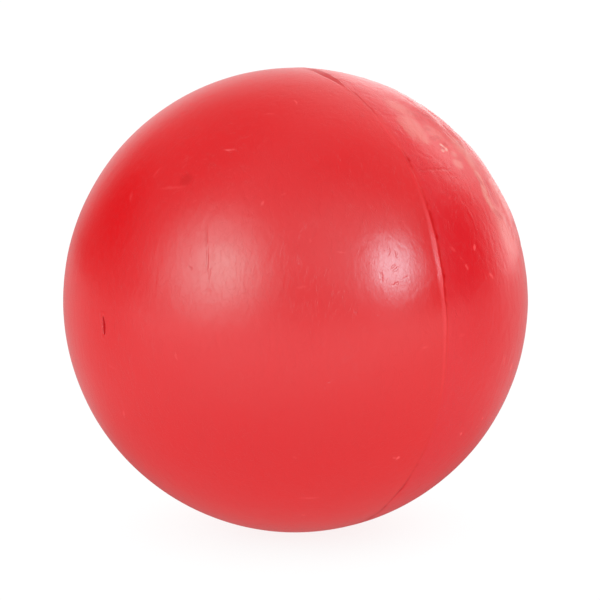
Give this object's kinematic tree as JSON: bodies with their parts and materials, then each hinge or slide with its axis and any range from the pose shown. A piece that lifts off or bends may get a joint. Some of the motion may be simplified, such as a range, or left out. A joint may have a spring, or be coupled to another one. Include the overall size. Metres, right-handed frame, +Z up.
{
  "type": "rubber pet ball",
  "caption": "Hollow rubber fetch and chew ball, made of half shells bonded at an upright seam, with a low cement lip round it and a sealed needle slit near the smooth half's pole.",
  "frame": {"origin": "centre of the ball", "axes": "X along the axis of both halves, with the smooth half on -X and the wrinkled half on +X; +Z up, so the seam stands upright in the YZ plane as in the picture; -Y towards the picture's camera, which looks from the side of the smooth half"},
  "size_m": [0.065, 0.0652, 0.0652],
  "materials": {
    "smooth_rubber": "satin moulded skin",
    "wrinkled_rubber": "wrinkled, flow-marked moulded skin",
    "rubber_cement": "cured cement, slightly ragged",
    "soft_gum": "matt gum"
  },
  "bodies": {
    "root": {"smooth_half_shell": "smooth_rubber", "wrinkled_half_shell": "wrinkled_rubber", "seam_cement_ring": "rubber_cement", "self_sealing_plug": "soft_gum"}
  },
  "joints": []
}
